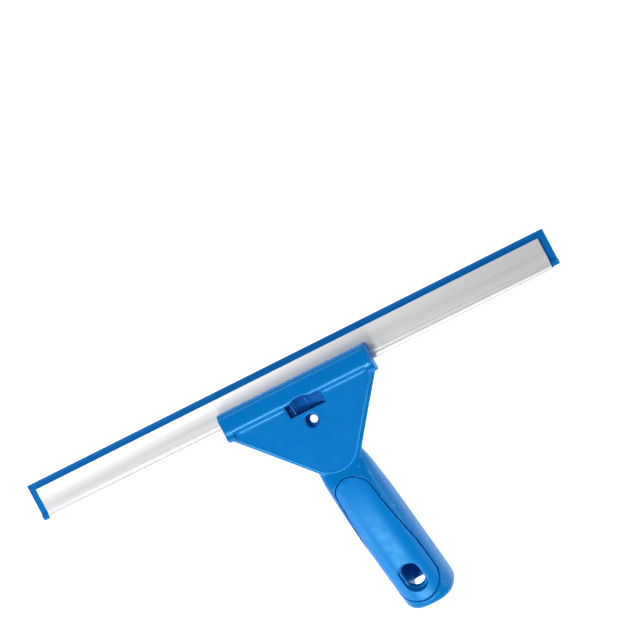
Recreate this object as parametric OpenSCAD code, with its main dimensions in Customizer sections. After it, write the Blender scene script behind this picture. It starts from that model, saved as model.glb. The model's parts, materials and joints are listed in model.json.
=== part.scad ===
// Window cleaning squeegee, 35 cm, in millimetres.
// The modules are drawn in a working frame: X along the blade, Y towards the working edge,
// Z out of the front face, with Z = 0 on the channel's front face.
// at_rest() then lays the tool down on its rubber edge and the end of its grip.

/* [Blade] */
// Length of the aluminium channel
channel_len = 350; // [250:5:450]
// Depth of the channel from its back to its front edge
channel_depth = 20.6; // [19:0.1:24]
// Thickness across the channel's two flat jaws
jaw_t = 5.2; // [4.6:0.1:5.6]
// Diameter of the channel's round back
bulb_d = 6.8; // [6.4:0.1:7.2]
// Wall of the channel's round back
bulb_wall = 0.8; // [0.6:0.1:1]
// Thickness of the rubber strip
rubber_t = 2; // [1.6:0.1:2.2]
// How far the rubber stands out in front of the channel
rubber_out = 4; // [3:0.2:8]
// How far the rubber stands out past each end of the channel
rubber_past = 4.5; // [2:0.5:6]
// How far the blade sits to the right of the head's centre
blade_shift = 0.8; // [-2:0.1:2]

/* [Head] */
// Length of the clamping bar along the channel
bar_len = 101.5; // [98:0.5:110]
// Width of the triangular face where it meets the bar
face_w = 94.8; // [90:0.2:96]
// Length of the triangular face from the bar to its round tip
face_len = 46.6; // [44:0.2:50]
// Radius of the round tip of the face
face_tip_r = 18; // [16:0.5:20]
// Slope of the face, down towards the grip
face_tilt = 12.5; // [11:0.5:14]
// Diameter of the through hole in the face
hole_d = 5; // [4:0.5:6]
// Diameter of its counterbore
counterbore_d = 9; // [8:0.5:10]
// Width of the lock's window
window_w = 24.4; // [24:0.2:26]

/* [Grip] */
// Length of the grip beyond the face
grip_len = 102; // [100:1:112]
// Slope of the grip, down and away from the blade
grip_tilt = 24.9; // [22:0.1:27]
// Half width of the grip at its end
grip_half_w = 16.9; // [16.6:0.1:18]
// Width of the hollow inside the grip
hollow_w = 16.8; // [14:0.2:18]
// Depth of the hollow from the grip's open end
hollow_len = 78; // [72:1:84]
// Thickness of the soft pad
pad_t = 2.2; // [1.6:0.1:2.6]
// Width of the seam around the pad
seam_w = 0.5; // [0.3:0.1:0.8]

/* [Lock] */
// How far the lock slides to let go of the channel
lock_travel = 3; // [2.4:0.1:3]
// Angle of the wedge against the channel
wedge_angle = 8; // [6:0.5:9]

/* [Hidden] */
$fn = 48;

// Length that takes a cut well past the part
past = 40;
// How far solids or cuts that meet run into each other
overlap = 0.1;
// Thickness of the slices that the hulls run between
slice_t = 0.02;
arc_steps = 24;

// Slope and height that bring the rubber edge and the grip's end down to Z = 0
rest_tilt = 20.7;
rest_lift = 8.95;
rest_shift = 76.6;

// Blade, in the Y-Z plane
mid_z = -3;
channel_front = channel_depth / 2 + 0.2;
channel_back = channel_front - channel_depth;
bulb_y = channel_back + bulb_d / 2;
bead_cavity_r = bulb_d / 2 - bulb_wall;
bead_r = bead_cavity_r - 0.4;
slot_t = rubber_t + 0.1;
clip_gap = 0.05;
clip_len = 8;
clip_t = 0.3;
clip_mouth = slot_t + 0.8;

// Head
fit = 0.3;
bar_front = 2;
bar_back = -13.6;
bar_top = 8.8;
bar_bottom = -9.4;
bar_front_round = 3.6;
bar_back_round = 5.8;
ear_w = 5.4;
ear_out = 0.8;
ear_front = -1;
ear_drop = 1.5;
lip_inset = 4.4;
lip_front = -1.5;
lip_round = 1.2;
ear_back = -16.6;
face_y = -16.4;
face_under_bar = 5.6;
face_z = 5;
fan_depth = 9.5;
border_w = 2;
border_t = 3;
border_round = 0.7;
body_out = 0.5;
body_in = 3.5;
body_front = 2;
skin = 2.8;
fan_wall = 1;
fan_hollow_inset = 7;
rim_w = 0.8;
rim_h = 0.5;
hole_x = 0;
hole_y = -26.2;
hole_floor = -2.2;
hole_wall = 1.8;
boss_d = 13;
rib_t = 1.8;
rib_gap = 22;
rib_xs = [-1.5 * rib_gap, -0.5 * rib_gap, 0.5 * rib_gap, 1.5 * rib_gap];

// Window and lock
window_x = 1.3;
window_top = -11.7;
window_bottom = -19.6;
arch_x = 0.5;
arch_half = 7.4;
arch_h = 2.4;
lock_left = -9.2;
lock_right = 17.6;
lock_floor = -7;
lock_shelf = -1.4;
lock_front = channel_back - 0.25;
lock_back = -20.7;
lock_gap = 0.25;
end_gap = 1;
housing_wall = 2.4;
housing_bottom = -9;
housing_over = 2;
tab_left = -7.1;
tab_right = window_x + window_w / 2 - 0.4;
tab_bottom = window_bottom + 0.55;
tab_depth = window_top - lock_gap - tab_bottom;
tab_top = -9.7;
ridge_w = 0.7;
ridge_z = -0.6;
scoop_r = 3;
scoop_depth = 3;
scoop_right = -0.9;
foot_left = window_x - window_w / 2 + 0.2;
foot_top = 1.9;
foot_pocket_bottom = window_bottom + overlap;
lip_floor = 1;
lip_right = arch_x + arch_half - 0.4;
lip_top = 4.4;
spring_d = 4.2;
spring_wire = 0.5;
spring_len = 9.6;
spring_turns = 6;
spring_gap = 0.3;
turn_steps = 14;
wire_sides = 8;

// Grip
grip_y = -63;
grip_z = -13;
grip_round = 5.5;
end_steps = 4;
ring_steps = 48;
front_swell = 0.74;
back_swell = 0.86;
hollow_front = 11;
hollow_back = 8.5;
hollow_r = 2;
eye_s = 77.4;
eye_w = 14.6;
eye_len = 21;
eye_step = 1.7;
core_from = 3;
core_w = 15;
core_front = 6.4;
core_back = 7.6;
notch_s = 93.6;
notch_w = 20;
pad_top_s = -0.5;
pad_x = -1;
pad_top_r = 11.9;
pad_end_s = 95.4;
pad_end_r = 15.6;
flare_from = 6;
flare_to = 68;
flare_steps = 10;

// The grip's front rises from the neck and levels out towards its end
grip_from = 2;
grip_slices = 16;
front_end = 17.5;
front_rise = 6.7;
front_run = 26;
half_widths = [[grip_from, 16.4], [25, 17.1], [42, 17.2], [60, 17.1], [grip_len - grip_round, grip_half_w]];
back_depths = [[grip_from, 12.4], [25, 13.4], [42, 12.8], [60, 12.2]];

function grip_section(s) =
    let (front = front_end - front_rise * exp((grip_from - s) / front_run))
    [s, lookup(s, half_widths), front, lookup(s, back_depths)];

// Place, half width, front depth and back depth of the grip's sections, from the neck to the end
grip_sections = concat(
    [[-17, 13.6, 0.5, 7.5], [-8, 15.5, 5.2, 9.8]],
    [for (k = [0:grip_slices]) grip_section(grip_from + (grip_len - grip_round - grip_from) * k / grip_slices)]
);

module at_rest()
    translate([0, rest_shift, rest_lift])
        rotate([-rest_tilt, 0, 0])
            children();

module on_blade()
    translate([blade_shift, 0, 0])
        children();

module along_x(length)
    rotate([90, 0, 90])
        linear_extrude(length, center = true)
            children();

module on_face()
    translate([0, face_y, face_z])
        rotate([face_tilt, 0, 0])
            children();

module on_grip()
    translate([0, grip_y, grip_z])
        rotate([90 + grip_tilt, 0, 0])
            children();

// ---- blade ----

module channel_outline(grow = 0) {
    translate([bulb_y, mid_z])
        circle(r = bulb_d / 2 + grow);
    translate([bulb_y, mid_z - jaw_t / 2 - grow])
        square([channel_front - bulb_y, jaw_t + 2 * grow]);
}

module channel_profile()
    difference() {
        channel_outline();
        translate([bulb_y, mid_z])
            circle(r = bead_cavity_r);
        translate([bulb_y, mid_z - slot_t / 2])
            square([channel_depth, slot_t]);
    }

module rubber_profile() {
    translate([bulb_y, mid_z])
        circle(r = bead_r);
    translate([bulb_y, mid_z - rubber_t / 2])
        square([channel_front + rubber_out - bulb_y, rubber_t]);
}

module channel()
    color("silver")
        at_rest()
            on_blade()
                along_x(channel_len)
                    channel_profile();

module rubber_blade()
    color([0.02, 0.3, 0.55])
        at_rest()
            on_blade()
                along_x(channel_len + 2 * rubber_past)
                    rubber_profile();

// A split sleeve around the rubber's bead, inside the channel's round back
module clip(side)
    color("gainsboro")
        at_rest()
            translate([side * (channel_len / 2 - clip_len) + blade_shift, 0, 0])
                along_x(clip_len)
                    difference() {
                        translate([bulb_y, mid_z])
                            circle(r = bead_r + clip_gap + clip_t);
                        translate([bulb_y, mid_z])
                            circle(r = bead_r + clip_gap);
                        translate([bulb_y, mid_z - clip_mouth / 2])
                            square([bulb_d, clip_mouth]);
                    }

module left_clip()
    clip(-1);

module right_clip()
    clip(1);

// ---- head ----

function arc(cx, cy, r, a0, a1, steps) =
    [for (k = [0:steps]) [cx + r * cos(a0 + (a1 - a0) * k / steps), cy + r * sin(a0 + (a1 - a0) * k / steps)]];

// The face's outline, grown by an even margin: two straight sides and a round tip
function face_outline(grow) =
    let (half = face_w / 2, tip_y = face_tip_r - face_len)
    let (span = sqrt(half * half + tip_y * tip_y))
    let (side = acos(face_tip_r / span) - atan2(-tip_y, half))
    concat(
        [[half + grow / cos(side), 0]],
        arc(0, tip_y, face_tip_r + grow, -side, side - 180, arc_steps),
        [[-half - grow / cos(side), 0]]
    );

module face_shape(grow) {
    polygon(face_outline(grow));
    translate([-face_w / 2 - grow, -overlap])
        square([face_w + 2 * grow, face_under_bar]);
}

// The section of the bar in front of the channel, rounded above
module bar_shape(back) {
    translate([back, 0])
        square([bar_front - back, bar_top - bar_back_round]);
    translate([back + bar_back_round, 0])
        square([bar_front - back - bar_back_round, bar_top - bar_front_round]);
    translate([back + bar_back_round, 0])
        square([bar_front - back - bar_front_round - bar_back_round, bar_top]);
    translate([back + bar_back_round, bar_top - bar_back_round])
        circle(r = bar_back_round, $fn = 72);
    translate([bar_front - bar_front_round, bar_top - bar_front_round])
        circle(r = bar_front_round);
}

// The section of the lip behind the channel
module lip_shape() {
    translate([bar_back, bar_bottom + lip_round])
        square([lip_front - bar_back, overlap - bar_bottom - lip_round]);
    translate([bar_back + lip_round, bar_bottom])
        square([lip_front - bar_back - 2 * lip_round, lip_round + overlap]);
    for (y = [bar_back + lip_round, lip_front - lip_round])
        translate([y, bar_bottom + lip_round])
            circle(r = lip_round);
}

module bar() {
    along_x(bar_len)
        bar_shape(bar_back);
    along_x(bar_len - 2 * lip_inset)
        lip_shape();
    for (side = [-1, 1])
        translate([side * (bar_len / 2 + ear_out - ear_w / 2), 0, 0])
            along_x(ear_w)
                intersection() {
                    bar_shape(ear_back);
                    translate([ear_back, 0])
                        square([ear_front - ear_back, bar_top - ear_drop]);
                }
}

// The plate under the face, with a rounded border outside the rim
module fan_plate()
    on_face()
        hull() {
            translate([0, 0, -rim_h])
                linear_extrude(rim_h)
                    face_shape(0);
            translate([0, 0, border_round - border_t])
                linear_extrude(border_round)
                    face_shape(border_w);
            translate([0, 0, -border_t])
                linear_extrude(border_round)
                    face_shape(border_w - border_round);
        }

// The deeper body behind the plate, which runs into the neck
module fan_body()
    hull() {
        on_face() {
            translate([0, 0, -border_t])
                linear_extrude(slice_t)
                    face_shape(body_out);
            translate([0, 0, -fan_depth])
                linear_extrude(slice_t)
                    face_shape(-body_in);
        }
        on_grip()
            grip_slice(grip_sections[1][0], grip_sections[1][1], body_front, grip_sections[1][3]);
    }

module fan_hollow()
    difference() {
        on_face()
            fan_cells();
        translate([hole_x, hole_y, hole_floor - hole_wall])
            cylinder(d = boss_d, h = past);
    }

module fan_cells()
    difference() {
        translate([0, 0, -past])
            linear_extrude(past - skin)
                difference() {
                    polygon(face_outline(-fan_wall));
                    translate([-face_w, -fan_hollow_inset])
                        square([2 * face_w, past]);
                }
        for (x = rib_xs)
            translate([x - rib_t / 2, -face_len, -past])
                cube([rib_t, face_len, past]);
    }

module face_recess()
    on_face() {
        translate([0, 0, -rim_h])
            linear_extrude(past)
                polygon(face_outline(-rim_w));
        linear_extrude(past)
            polygon(face_outline(0));
    }

// The hole and its counterbore run straight along Z
module face_hole()
    translate([hole_x, hole_y, 0]) {
        translate([0, 0, hole_floor])
            cylinder(d = counterbore_d, h = past);
        translate([0, 0, hole_floor - hole_wall - overlap])
            cylinder(d = hole_d, h = past);
    }

// ---- grip ----

// The grip's section: squarer in front than behind
function grip_ring(half_w, front, back) =
    [for (k = [0:ring_steps - 1])
        let (a = 360 * k / ring_steps, c = cos(a), s = sin(a))
        let (swell = s > 0 ? front_swell : back_swell)
        [half_w * sign(c) * pow(abs(c), swell), (s > 0 ? front : back) * sign(s) * pow(abs(s), swell)]];

module grip_slice(s, half_w, front, back)
    translate([0, 0, s])
        linear_extrude(slice_t)
            polygon(grip_ring(half_w, front, back));

module grip_solid(inset = 0)
    hull() {
        for (p = grip_sections)
            grip_slice(p[0], p[1] - inset, p[2] - inset, p[3] - inset);
        for (k = [1:end_steps])
            let (a = 90 * k / end_steps)
            let (p = grip_sections[len(grip_sections) - 1], in = grip_round * (1 - cos(a)) + inset)
            grip_slice(p[0] + grip_round * sin(a), p[1] - in, p[2] - in, p[3] - in);
    }

// Half width of the pad at s along the grip: slim above, with a smooth flare towards its wide end
function pad_half(s) =
    let (t = min(1, max(0, (s - flare_from) / (flare_to - flare_from))))
    pad_top_r + (pad_end_r - pad_top_r) * t * t * (3 - 2 * t);

function pad_side(side, grow) =
    let (from = pad_top_s + pad_top_r)
    [for (k = [0:flare_steps])
        let (s = from + (flare_to - from) * k / flare_steps)
        [side * (pad_half(s) + grow), s]];

// The pad's outline, seen from the front of the grip
module pad_shape(grow = 0)
    translate([pad_x, 0])
        polygon(concat(
            arc(0, pad_top_s + pad_top_r, pad_top_r + grow, 180, 360, arc_steps),
            pad_side(1, grow),
            arc(0, pad_end_s - pad_end_r, pad_end_r + grow, 0, 180, arc_steps),
            [for (k = [flare_steps:-1:0]) pad_side(-1, grow)[k]]
        ));

// Stands a shape drawn in X and S up along the grip's front
module over_grip(from = 0, height = past)
    translate([0, from + height, 0])
        rotate([90, 0, 0])
            linear_extrude(height)
                children();

// A shallower core that carries the hollow on towards the neck
module neck_core()
    translate([-core_w / 2, -core_back, core_from])
        cube([core_w, core_front + core_back, grip_len - hollow_len - core_from + overlap]);

// The section of the hollow inside the grip
module hollow_shape() {
    translate([-hollow_w / 2, hollow_r - hollow_back])
        square([hollow_w, hollow_front + hollow_back - 2 * hollow_r]);
    translate([hollow_r - hollow_w / 2, -hollow_back])
        square([hollow_w - 2 * hollow_r, hollow_front + hollow_back]);
    for (x = [-1, 1], y = [hollow_r - hollow_back, hollow_front - hollow_r])
        translate([x * (hollow_w / 2 - hollow_r), y])
            circle(r = hollow_r);
}

module eye_shape(w, l) {
    for (y = [-1, 1])
        translate([0, y * (l - w) / 2])
            circle(d = w);
    square([w, l - w], center = true);
}

// The notch in the grip's back wall, open to the grip's end
module rear_notch_shape()
    translate([-notch_w / 2, notch_s])
        square([notch_w, grip_len]);

module grip_pad()
    color([0.1, 0.5, 0.9])
        at_rest()
            on_grip()
                difference() {
                    intersection() {
                        grip_solid();
                        over_grip()
                            pad_shape(-seam_w);
                    }
                    grip_solid(pad_t);
                    over_grip()
                        translate([0, eye_s])
                            eye_shape(eye_w, eye_len);
                }

module pad_pocket()
    difference() {
        over_grip()
            pad_shape();
        grip_solid(pad_t + slice_t);
    }

module grip()
    on_grip()
        difference() {
            grip_solid();
            pad_pocket();
            translate([0, 0, grip_len - hollow_len])
                linear_extrude(hollow_len + past)
                    hollow_shape();
            neck_core();
            over_grip()
                translate([0, eye_s])
                    eye_shape(eye_w - 2 * eye_step, eye_len - 2 * eye_step);
            over_grip(-past, past)
                rear_notch_shape();
        }

// ---- lock ----

// Outline of the hidden half of the lock and of its pocket: straight against the channel,
// sloped against the pocket wall
module wedge_shape(left, right, grow)
    polygon([
        [left, lock_front + grow],
        [right, lock_front + grow],
        [right, lock_back + (right - lock_left) * tan(wedge_angle) - grow],
        [left, lock_back + (left - lock_left) * tan(wedge_angle) - grow]
    ]);

// The thumb arch above the window, seen from the front
module thumb_arch() {
    radius = (arch_half * arch_half + arch_h * arch_h) / (2 * arch_h);
    intersection() {
        translate([arch_x, window_top + arch_h - radius])
            circle(r = radius, $fn = 96);
        translate([arch_x - arch_half, window_top - overlap])
            square([2 * arch_half, arch_h + 2 * overlap]);
    }
}

module lock_pocket() {
    translate([0, 0, lock_floor - lock_gap])
        linear_extrude(lock_shelf - lock_floor + 2 * lock_gap)
            wedge_shape(lock_left - lock_travel - end_gap, lock_right + end_gap, lock_gap);
    translate([0, 0, lip_floor - lock_gap])
        linear_extrude(past)
            thumb_arch();
    translate([window_x - window_w / 2, window_bottom, lock_shelf - lock_gap])
        cube([window_w, window_top - window_bottom, past]);
    // Room for the foot under the face, and for the lip under the bar
    translate([foot_left - lock_travel - lock_gap, foot_pocket_bottom, lock_shelf - lock_gap / 2])
        cube([window_w / 2, window_top - overlap - foot_pocket_bottom, foot_top - lock_shelf + 2 * lock_gap]);
    translate([tab_left - lock_travel - lock_gap, window_top - end_gap, lip_floor - lock_gap / 2])
        cube([lip_right - tab_left + lock_travel + 2 * lock_gap, tab_top - window_top + end_gap + lock_gap,
            lip_top - lip_floor + 2 * lock_gap]);
    // The spring's blind hole
    translate([lock_left - spring_len, (lock_front + lock_back) / 2, (lock_floor + lock_shelf) / 2])
        rotate([0, 90, 0])
            cylinder(d = spring_d + 2 * spring_gap, h = spring_len);
}

// What the thumb scoop leaves free: level over the ridge, a steep wall, then a long rise to the right
module scoop_shape() {
    wall_x = tab_left + ridge_w + scoop_r;
    low = ridge_z - scoop_depth;
    run = tab_right - wall_x;
    rise = scoop_right - low;
    long_r = (run * run + rise * rise) / (2 * rise);
    turn = asin(run / long_r);
    polygon(concat(
        [[-past, past], [-past, ridge_z], [tab_left + ridge_w, ridge_z]],
        arc(wall_x, low + scoop_r, scoop_r, 180, 270, arc_steps),
        arc(wall_x, low + long_r, long_r, 270, 270 + turn, arc_steps),
        [[past, scoop_right], [past, past]]
    ));
}

module lock_wedge()
    color([0.02, 0.32, 0.68])
        at_rest()
            difference() {
                union() {
                    translate([0, 0, lock_floor])
                        linear_extrude(lock_shelf - lock_floor)
                            wedge_shape(lock_left, lock_right, 0);
                    translate([foot_left, tab_bottom, lock_shelf - overlap])
                        cube([tab_right - foot_left, tab_depth, foot_top - lock_shelf + overlap]);
                    translate([tab_left, tab_bottom, lock_shelf - overlap])
                        cube([tab_right - tab_left, tab_depth, bar_top - lock_shelf]);
                    translate([tab_left, tab_bottom, lip_floor])
                        cube([lip_right - tab_left, tab_top - tab_bottom, lip_top - lip_floor]);
                }
                on_face()
                    rotate([90, 0, 0])
                        linear_extrude(2 * past, center = true)
                            scoop_shape();
            }

// Round wire wound along X
function coil_point(k, steps) =
    let (a = 360 * spring_turns * k / steps, r = (spring_d - spring_wire) / 2)
    [(spring_len - spring_wire) * k / steps, r * cos(a), r * sin(a)];

module lock_spring()
    color("gainsboro")
        at_rest()
            translate([lock_left - spring_len + spring_wire / 2,
                (lock_front + lock_back) / 2, (lock_floor + lock_shelf) / 2])
                coil(spring_turns * turn_steps);

module coil(steps) {
    points = [for (k = [0:steps], j = [0:wire_sides - 1])
        let (a = 360 * spring_turns * k / steps, b = 360 * j / wire_sides, p = coil_point(k, steps))
        p + spring_wire / 2 * [sin(b), cos(b) * cos(a), cos(b) * sin(a)]];
    wall = [for (k = [0:steps - 1], j = [0:wire_sides - 1])
        let (n = (j + 1) % wire_sides, at = k * wire_sides, next = at + wire_sides)
        [at + j, at + n, next + n, next + j]];
    ends = [
        [for (j = [wire_sides - 1:-1:0]) j],
        [for (j = [0:wire_sides - 1]) steps * wire_sides + j]
    ];
    polyhedron(points, concat(wall, ends));
}

// ---- handle ----

module handle()
    color([0.05, 0.45, 0.8])
        at_rest()
            difference() {
                union() {
                    bar();
                    difference() {
                        union() {
                            fan_plate();
                            fan_body();
                            difference() {
                                grip();
                                face_recess();
                            }
                        }
                        fan_hollow();
                    }
                    lock_housing();
                }
                along_x(bar_len + past)
                    channel_outline(fit);
                lock_pocket();
                face_hole();
            }

// Solid block around the lock's pocket, behind the face
module lock_housing()
    translate([lock_left - spring_len - housing_wall, lock_back - housing_wall, housing_bottom])
        cube([
            lock_right - lock_left + spring_len + 2 * housing_wall + end_gap,
            bar_back - lock_back + 2 * housing_wall,
            lock_shelf - housing_bottom + housing_over
        ]);

handle();
grip_pad();
lock_wedge();
lock_spring();
channel();
rubber_blade();
left_clip();
right_clip();
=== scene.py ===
import json
import math

import bmesh
import bpy
from mathutils import Matrix, Vector
from mathutils.kdtree import KDTree


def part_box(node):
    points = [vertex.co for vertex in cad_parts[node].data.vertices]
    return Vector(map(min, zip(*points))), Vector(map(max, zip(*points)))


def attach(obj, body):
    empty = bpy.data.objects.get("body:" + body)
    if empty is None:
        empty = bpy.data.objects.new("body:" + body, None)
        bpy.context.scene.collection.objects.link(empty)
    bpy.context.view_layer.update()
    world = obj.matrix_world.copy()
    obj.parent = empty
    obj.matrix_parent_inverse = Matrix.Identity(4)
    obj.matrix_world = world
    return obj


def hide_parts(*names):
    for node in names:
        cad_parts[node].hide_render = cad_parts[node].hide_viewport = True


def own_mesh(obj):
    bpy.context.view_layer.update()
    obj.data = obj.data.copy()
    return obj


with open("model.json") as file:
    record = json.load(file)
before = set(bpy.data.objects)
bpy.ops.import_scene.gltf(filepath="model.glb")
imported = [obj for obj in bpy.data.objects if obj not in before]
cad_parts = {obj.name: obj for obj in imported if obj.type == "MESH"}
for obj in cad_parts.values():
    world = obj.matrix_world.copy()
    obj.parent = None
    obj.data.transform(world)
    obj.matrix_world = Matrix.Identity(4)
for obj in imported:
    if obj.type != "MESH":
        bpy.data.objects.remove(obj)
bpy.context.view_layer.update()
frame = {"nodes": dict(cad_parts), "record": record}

MM = 0.001

# Face of the head, as the rim bead follows it (mm)
FACE_HALF = 47.4
FACE_LEN = 46.6
FACE_TIP_R = 18.0
FACE_TILT = 12.5          # slope of the face (degrees), against the hole's axis
FACE_BACK = 9.8           # from the hole's axis back to the edge of the face at the bar
FACE_ABOVE = 8.1          # from the middle of the hole's wall up to that edge
RIM_W = 1.2
RIM_SINK = 0.2
RIM_STEPS = 28

# Moulded parts: voxel size (mm), rounds of smoothing and the most triangles
HANDLE_SKIN = (0.42, 6, 190000)
PAD_SKIN = (0.38, 5, 90000)
LOCK_SKIN = (0.22, 5, 90000)
CALM_ROUNDS = 60
SMOOTH_FACTOR = 0.5
EYE_ROUND_R = 14          # how far the rounder edges reach from the hanging eye (mm)
EYE_ROUNDS = 10

# Eased edges (mm)
CHANNEL_EASE = 0.18
RUBBER_EASE = 0.2
CLIP_EASE = 0.05
JOIN_DIST = 0.002         # corners closer than this are one

# Painted edge highlight with wear, painted shade in crease lines and the gloss of moulded plastic,
# as the limits of pointiness
HIGHLIGHT_WEAR_SPAN = 0.06
CREASE_SHADE = (0.42, 0.492)
GLOSS = (0.43, 0.494)

# Stage: half the floor's width (m), how far it lies below the part (mm), its glow and the world's
FLOOR_HALF = 4
FLOOR_DROP = 0.2
FLOOR_GLOW = 0.95
WORLD_GLOW = 0.2

# Main camera: viewing angle (degrees), distance (m), width of view and what it aims at (mm)
VIEW_AZIMUTH = 144.55
VIEW_ELEVATION = 60.3
VIEW_DISTANCE = 14.0
VIEW_FIELD = 382.5
VIEW_RIGHT = (0.8564, -0.5143, -0.0439)
AIM_RIGHT = 15.3
AIM_UP = 34.95
SENSOR = 36
CLIP = (1, 100)

NODES = frame["nodes"]
MOUNTS = {m["name"]: m for m in frame["record"]["mounts"]}


# ---- materials ----

def linear(r, g, b):
    """A colour on screen, 0 to 255, as a linear RGBA."""
    def channel(v):
        v /= 255
        return v / 12.92 if v <= 0.04045 else ((v + 0.055) / 1.055) ** 2.4
    return (channel(r), channel(g), channel(b), 1)


class Nodes:
    """A material's node tree, with short calls for the nodes that the materials share."""

    def __init__(self, name):
        self.material = bpy.data.materials.new(name)
        self.material.use_nodes = True
        self.tree = self.material.node_tree
        self.shader = self.tree.nodes["Principled BSDF"]
        self.place = self.add("ShaderNodeTexCoord").outputs["Object"]

    def add(self, kind, **settings):
        node = self.tree.nodes.new(kind)
        for key, value in settings.items():
            setattr(node, key, value)
        return node

    def link(self, output, socket):
        self.tree.links.new(output, socket)

    def stretched(self, x, y, z):
        node = self.add("ShaderNodeMapping")
        node.inputs["Scale"].default_value = (x, y, z)
        self.link(self.place, node.inputs["Vector"])
        return node.outputs["Vector"]

    def noise(self, scale, detail=2.0, vector=None, rough=0.5):
        node = self.add("ShaderNodeTexNoise")
        node.inputs["Scale"].default_value = scale
        node.inputs["Detail"].default_value = detail
        node.inputs["Roughness"].default_value = rough
        self.link(vector or self.place, node.inputs["Vector"])
        return node.outputs["Fac"]

    def spread(self, value, low, high, from_low=0.3, from_high=0.7):
        node = self.add("ShaderNodeMapRange")
        node.inputs["From Min"].default_value = from_low
        node.inputs["From Max"].default_value = from_high
        node.inputs["To Min"].default_value = low
        node.inputs["To Max"].default_value = high
        self.link(value, node.inputs["Value"])
        return node.outputs["Result"]

    def mix(self, fac, a, b):
        node = self.add("ShaderNodeMix", data_type="RGBA")
        self.link(fac, node.inputs[0])
        for value, socket in ((a, node.inputs[6]), (b, node.inputs[7])):
            if isinstance(value, tuple):
                socket.default_value = value
            else:
                self.link(value, socket)
        return node.outputs[2]

    def bump(self, height, strength, distance, under=None):
        node = self.add("ShaderNodeBump")
        node.inputs["Strength"].default_value = strength
        node.inputs["Distance"].default_value = distance
        self.link(height, node.inputs["Height"])
        if under is not None:
            self.link(under, node.inputs["Normal"])
        return node.outputs["Normal"]

    def set(self, **values):
        for key, value in values.items():
            socket = self.shader.inputs[key.replace("_", " ")]
            if isinstance(value, bpy.types.NodeSocket):
                self.link(value, socket)
            else:
                socket.default_value = value


SHEEN = (0.3, 0.85, 1.0, 1)       # the pigment tints the plastic's reflections


def shaded(colour, k):
    return tuple(k * c for c in colour[:3]) + (1,)


def moulded(name, colour, edge_highlight_and_wear, rough, grain_mm, grain_depth, highlight_wear_from=0.57):
    """A moulded plastic: a fine spark-eroded grain, faint flow marks, paler edges that are a
    painted highlight together with wear, painted shade in the crease lines and uneven gloss."""
    n = Nodes(name)
    pointiness = n.add("ShaderNodeNewGeometry").outputs["Pointiness"]
    # paler edges by pointiness: a painted highlight along the edges, together with wear
    edges = n.spread(pointiness, 0, 0.85, highlight_wear_from, highlight_wear_from + HIGHLIGHT_WEAR_SPAN)
    # darker crease lines by pointiness: painted shade where the parts meet
    crease_shade = n.spread(pointiness, 0.8, 0, *CREASE_SHADE)
    flow = n.spread(n.noise(28, 3), 0, 0.35)
    base = n.mix(flow, colour, shaded(colour, 0.86))
    base = n.mix(crease_shade, base, shaded(colour, 0.35))
    grain = n.noise(1 / (grain_mm * MM), 2)
    swell = n.noise(60, 2)
    n.set(
        Base_Color=n.mix(edges, base, edge_highlight_and_wear),
        Roughness=n.spread(n.noise(180, 4), rough - 0.05, rough + 0.07),
        Normal=n.bump(grain, 0.35, grain_depth * MM, n.bump(swell, 0.12, 0.25 * MM)),
        IOR=1.49,
        Specular_IOR_Level=n.spread(pointiness, 0, 0.3, *GLOSS),
        Specular_Tint=SHEEN,
    )
    return n.material


def drawn_aluminium():
    """Clear-anodised extruded aluminium: long fine die lines along X and a satin sheen."""
    n = Nodes("drawn_aluminium")
    lines = n.noise(1, 3, n.stretched(9, 2600, 2600))
    bands = n.noise(1, 2, n.stretched(2.5, 420, 420))
    shade = n.mix(n.spread(bands, 0, 1), (0.78, 0.785, 0.8, 1), (0.85, 0.85, 0.86, 1))
    n.set(
        Base_Color=shade,
        Metallic=0.7,
        Roughness=n.spread(lines, 0.42, 0.56),
        Normal=n.bump(lines, 0.25, 0.03 * MM),
        Coat_Weight=0.15,
        Coat_Roughness=0.3,
    )
    return n.material


def blade_rubber():
    """Smooth moulded rubber with a faint bloom and slight waves along its length."""
    n = Nodes("blade_rubber")
    bloom = n.spread(n.noise(140, 5, rough=0.65), 0, 0.3)
    n.set(
        Base_Color=n.mix(bloom, linear(0, 104, 190), linear(10, 124, 190)),
        Roughness=n.spread(n.noise(300, 3), 0.48, 0.62),
        Normal=n.bump(n.noise(1, 2, n.stretched(60, 900, 900)), 0.2, 0.06 * MM),
        IOR=1.52,
        Specular_IOR_Level=0.18,
        Specular_Tint=SHEEN,
    )
    return n.material


def spring_steel():
    """Bright drawn steel with fine scratches."""
    n = Nodes("spring_steel")
    scratches = n.noise(1, 4, n.stretched(300, 5000, 5000))
    n.set(
        Base_Color=(0.62, 0.62, 0.63, 1),
        Metallic=1.0,
        Roughness=n.spread(scratches, 0.2, 0.38),
        Normal=n.bump(scratches, 0.2, 0.02 * MM),
    )
    return n.material


# ---- mesh tools ----

def link(name, mesh):
    obj = bpy.data.objects.new(name, mesh)
    bpy.context.scene.collection.objects.link(obj)
    return obj


def copy_of(node, name):
    """The CAD node's mesh as a new object, with its split corners joined again."""
    mesh = NODES[node].data.copy()
    mesh.materials.clear()
    bm = bmesh.new()
    bm.from_mesh(mesh)
    bmesh.ops.remove_doubles(bm, verts=bm.verts, dist=JOIN_DIST * MM)
    bm.to_mesh(mesh)
    bm.free()
    return link(name, mesh)


def applied(obj):
    """obj with its modifiers applied."""
    graph = bpy.context.evaluated_depsgraph_get()
    mesh = bpy.data.meshes.new_from_object(obj.evaluated_get(graph))
    obj.modifiers.clear()
    obj.data = mesh
    return obj


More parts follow.
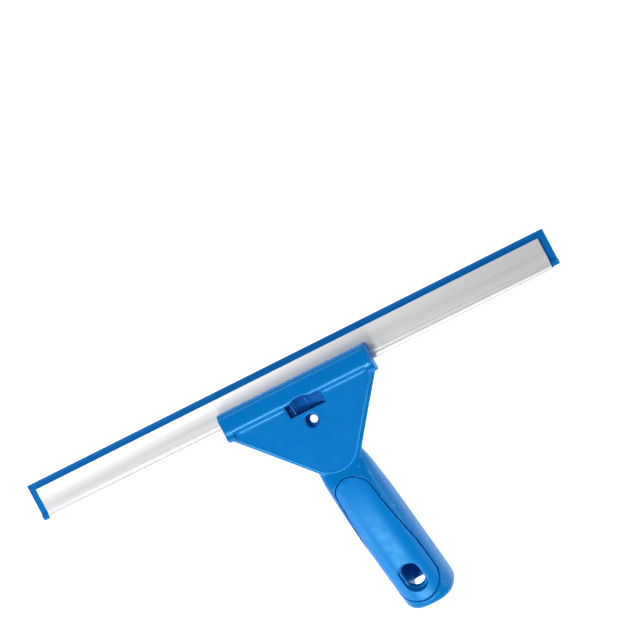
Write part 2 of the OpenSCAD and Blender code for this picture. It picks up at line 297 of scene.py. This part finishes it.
def calmed(obj, rounds, edge_angle=24, keep=1.2, full=3.5):
    """Evens out the broad faces of a skin and leaves its edges alone: at full strength from
    `full` mm off any edge, and not at all within `keep` mm."""
    bm = bmesh.new()
    bm.from_mesh(obj.data)
    limit = math.radians(edge_angle)
    edges = [e for e in bm.edges if e.is_manifold and e.calc_face_angle(0) > limit]
    sharp = {v.index for e in edges for v in e.verts}
    tree = KDTree(len(sharp))
    bm.verts.ensure_lookup_table()
    for index in sharp:
        tree.insert(bm.verts[index].co, index)
    tree.balance()
    group = obj.vertex_groups.new(name="broad")
    for v in bm.verts:
        far = tree.find(v.co)[2] / MM
        weight = min(1, (far - keep) / (full - keep))
        if weight > 0:
            group.add([v.index], weight, "REPLACE")
    bm.free()
    soften(obj, group.name, rounds)
    return applied(obj)


def soften(obj, group, rounds):
    """Rounds off the vertices of the named group, or all of them where the name is empty."""
    smooth = obj.modifiers.new("soften", "SMOOTH")
    smooth.factor = SMOOTH_FACTOR
    smooth.iterations = rounds
    smooth.vertex_group = group


def remoulded(node, name, voxel, rounds, triangles, soft_spots=()):
    """A CAD node as one moulded skin: its edges get small fillets and its facets run together.
    Each soft spot is (centre, radius, rounds): a ball where the edges are rounder."""
    obj = copy_of(node, name)
    remesh = obj.modifiers.new("skin", "REMESH")
    remesh.mode = "VOXEL"
    remesh.voxel_size = voxel * MM
    applied(obj)
    soften(obj, "", rounds)
    applied(obj)
    calmed(obj, CALM_ROUNDS)
    for k, (centre, radius, more) in enumerate(soft_spots):
        group = obj.vertex_groups.new(name=f"soft_{k}")
        near = [v.index for v in obj.data.vertices if (v.co - centre).length < radius]
        group.add(near, 1.0, "REPLACE")
        soften(obj, group.name, more)
    applied(obj)
    count = 2 * len(obj.data.polygons)
    if count > triangles:
        thin = obj.modifiers.new("thin", "DECIMATE")
        thin.ratio = triangles / count
        applied(obj)
    obj.vertex_groups.clear()
    obj.data.shade_smooth()
    return obj


def eased(node, name, width, angle=35):
    """A CAD node with its sharp edges eased by a small round and its arcs shaded smooth."""
    obj = copy_of(node, name)
    bevel = obj.modifiers.new("ease", "BEVEL")
    bevel.width = width * MM
    bevel.segments = 3
    bevel.limit_method = "ANGLE"
    bevel.angle_limit = math.radians(angle)
    bevel.harden_normals = True
    applied(obj)
    obj.data.shade_smooth()
    obj.data.set_sharp_from_angle(angle=math.radians(angle))
    return obj


def tube(name, path, radius, sides=12):
    """A closed tube along a path of points, with a flat cap at each end."""
    bm = bmesh.new()
    rings = []
    for k, p in enumerate(path):
        ahead = (path[min(k + 1, len(path) - 1)] - path[max(k - 1, 0)]).normalized()
        side = ahead.cross(FACE_UP).normalized()
        up = side.cross(ahead)
        ring = []
        for j in range(sides):
            a = 2 * math.pi * j / sides
            ring.append(bm.verts.new(p + radius * (math.cos(a) * side + math.sin(a) * up)))
        rings.append(ring)
    for one, two in zip(rings, rings[1:]):
        for j in range(sides):
            n = (j + 1) % sides
            bm.faces.new((one[j], one[n], two[n], two[j]))
    bm.faces.new(rings[0][::-1])
    bm.faces.new(rings[-1])
    bmesh.ops.recalc_face_normals(bm, faces=bm.faces)
    mesh = bpy.data.meshes.new(name)
    bm.to_mesh(mesh)
    bm.free()
    mesh.shade_smooth()
    return link(name, mesh)


def finish_piece(obj, material, body, slot, *nodes):
    """Gives a piece its material and its body, and hides the CAD nodes that it stands for; slot is
    not used.
    """
    obj.data.materials.clear()
    obj.data.materials.append(material)
    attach(obj, body)
    if nodes:
        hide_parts(*nodes)
    return obj


# ---- places taken from the frame ----

BLADE_UP = Vector(MOUNTS["face_hole"]["axis"]).normalized()
BLADE_ALONG = BLADE_UP.cross(Vector((1, 0, 0))).normalized()
FACE_ORIGIN = (
    Vector(MOUNTS["face_hole"]["pos_m"])
    + FACE_ABOVE * MM * BLADE_UP
    + FACE_BACK * MM * BLADE_ALONG
)
TURN = Matrix.Rotation(math.radians(FACE_TILT), 3, "X")
FACE_UP = TURN @ BLADE_UP
FACE_ALONG = TURN @ BLADE_ALONG
EYE = Vector(MOUNTS["hang_eye"]["pos_m"])


def on_face(x, y, z):
    """A point in the face's own frame: x to the right, y towards the bar, z out of the face."""
    return FACE_ORIGIN + MM * (Vector((x, 0, 0)) + y * FACE_ALONG + z * FACE_UP)


def face_outline(grow):
    """The two straight sides and the round tip of the face, as points from right to left."""
    tip_y = FACE_TIP_R - FACE_LEN
    span = math.hypot(FACE_HALF, tip_y)
    side = math.acos(FACE_TIP_R / span) - math.atan2(-tip_y, FACE_HALF)
    radius = FACE_TIP_R + grow
    points = [(FACE_HALF + grow / math.cos(side), 0)]
    for k in range(RIM_STEPS + 1):
        a = -side - (math.pi - 2 * side) * k / RIM_STEPS
        points.append((radius * math.cos(a), tip_y + radius * math.sin(a)))
    points.append((-FACE_HALF - grow / math.cos(side), 0))
    return points


# ---- pieces ----

# the second colour of each is its paler edges: a painted highlight together with wear
PLASTIC = moulded("handle_plastic", linear(0, 116, 196), linear(60, 178, 240), 0.27, 0.35, 0.05)
# the rim bead is coloured paler than the handle: a painted highlight along the edge of the face
RIM_HIGHLIGHT_PLASTIC = moulded("rim_highlight_plastic", linear(20, 146, 226), linear(60, 178, 240), 0.27, 0.35, 0.03, 0.55)
PAD = moulded("pad_soft", linear(0, 122, 204), linear(60, 180, 240), 0.36, 0.28, 0.06)
LOCK = moulded("lock_plastic", linear(0, 80, 164), linear(80, 180, 240), 0.27, 0.35, 0.04, 0.515)
ALUMINIUM = drawn_aluminium()
RUBBER = blade_rubber()
STEEL = spring_steel()


def make_handle():
    eye = (EYE, EYE_ROUND_R * MM, EYE_ROUNDS)
    handle = remoulded("handle", "handle_shell", *HANDLE_SKIN, [eye])
    finish_piece(handle, PLASTIC, "handle", "handle_plastic", "handle")
    path = [on_face(x, y, -RIM_SINK) for x, y in face_outline(-RIM_W / 2)]
    rim = tube("face_rim", path, RIM_W / 2 * MM)
    finish_piece(rim, RIM_HIGHLIGHT_PLASTIC, "handle", "handle_plastic")


def make_pad():
    pad = remoulded("grip_pad", "grip_pad_skin", *PAD_SKIN)
    finish_piece(pad, PAD, "handle", "pad_soft", "grip_pad")


def make_lock():
    lock = remoulded("lock_wedge", "lock_slider", *LOCK_SKIN)
    finish_piece(lock, LOCK, "lock", "lock_plastic", "lock_wedge")
    spring = copy_of("lock_spring", "lock_coil")
    spring.data.shade_smooth()
    finish_piece(spring, STEEL, "handle", "spring_steel", "lock_spring")
    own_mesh(spring)


def make_blade():
    channel = eased("channel", "channel_profile", CHANNEL_EASE)
    finish_piece(channel, ALUMINIUM, "blade", "channel_aluminium", "channel")
    rubber = eased("rubber_blade", "blade_strip", RUBBER_EASE)
    finish_piece(rubber, RUBBER, "blade", "blade_rubber", "rubber_blade")
    for side in ("left", "right"):
        clip = eased(f"{side}_clip", f"{side}_end_clip", CLIP_EASE)
        finish_piece(clip, STEEL, "blade", "spring_steel", f"{side}_clip")


# ---- stage ----

def make_floor():
    mesh = bpy.data.meshes.new("floor")
    corners = [(-1, -1), (1, -1), (1, 1), (-1, 1)]
    mesh.from_pydata([(FLOOR_HALF * x, FLOOR_HALF * y, 0) for x, y in corners], [], [(0, 1, 2, 3)])
    floor = link("floor", mesh)
    floor.location.z = -FLOOR_DROP * MM
    n = Nodes("pale_floor")
    n.set(
        Base_Color=(0.5, 0.5, 0.5, 1),
        Roughness=0.9,
        Specular_IOR_Level=0.1,
        Emission_Color=(1, 1, 1, 1),
        Emission_Strength=FLOOR_GLOW,
    )
    floor.data.materials.append(n.material)


def area_light(name, place, size, power):
    """A soft light at `place` that points at the frame's origin."""
    data = bpy.data.lights.new(name, "AREA")
    data.shape = "RECTANGLE"
    data.size, data.size_y = size
    data.energy = power
    lamp = link(name, data)
    lamp.location = place
    lamp.rotation_euler = (-Vector(place)).to_track_quat("-Z", "Y").to_euler()
    lamp.visible_camera = False


def make_lights():
    world = bpy.data.worlds.new("studio")
    world.use_nodes = True
    background = world.node_tree.nodes["Background"]
    background.inputs["Color"].default_value = (1, 1, 1, 1)
    background.inputs["Strength"].default_value = WORLD_GLOW
    bpy.context.scene.world = world
    area_light("key", (-0.9, -0.45, 0.6), (0.12, 0.7), 5)
    area_light("low", (-0.38, -0.72, 1.12), (0.4, 0.16), 12)
    area_light("back", (-0.5, 0.95, 0.75), (0.6, 0.3), 6)
    area_light("fill", (1.1, -0.35, 0.4), (0.8, 0.5), 5)


def make_camera():
    azimuth = math.radians(VIEW_AZIMUTH)
    elevation = math.radians(VIEW_ELEVATION)
    back = Vector((
        math.sin(azimuth) * math.cos(elevation),
        -math.cos(azimuth) * math.cos(elevation),
        math.sin(elevation),
    ))
    right = Vector(VIEW_RIGHT)
    right = (right - right.dot(back) * back).normalized()
    up = back.cross(right)
    low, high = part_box("channel")
    middle = (low + high) / 2
    aim = middle + AIM_RIGHT * MM * right + AIM_UP * MM * up
    data = bpy.data.cameras.new("camera")
    data.sensor_width = SENSOR
    data.lens = data.sensor_width * VIEW_DISTANCE / (VIEW_FIELD * MM)
    data.clip_start, data.clip_end = CLIP
    camera = link("camera", data)
    turn = Matrix((right, up, back)).transposed()
    camera.matrix_world = Matrix.Translation(aim + VIEW_DISTANCE * back) @ turn.to_4x4()
    bpy.context.scene.camera = camera


make_camera()
make_floor()
make_lights()
make_handle()
make_pad()
make_lock()
make_blade()

bpy.context.scene.view_settings.view_transform = "Standard"
